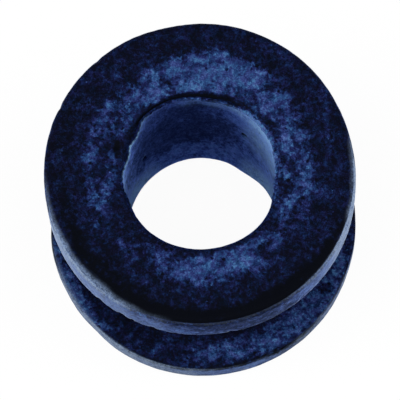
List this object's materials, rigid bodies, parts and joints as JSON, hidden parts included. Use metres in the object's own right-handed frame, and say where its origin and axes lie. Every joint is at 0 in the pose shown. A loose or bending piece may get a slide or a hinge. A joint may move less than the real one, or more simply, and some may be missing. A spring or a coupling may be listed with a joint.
{
  "type": "rubber grommet",
  "caption": "Double-lipped rubber grommet: a straight bored sleeve with a thick lip at each end and a panel groove between them.",
  "frame": {"origin": "centre of the bottom lip's flat face", "axes": "+Z along the bore from the bottom lip to the top lip; the part is round about Z, so +X and +Y are free"},
  "size_m": [0.016, 0.016, 0.012],
  "materials": {
    "rubber": "matt blue-black moulded rubber with a bluish grey bloom"
  },
  "bodies": {
    "root": {"grommet": "rubber"}
  },
  "joints": []
}
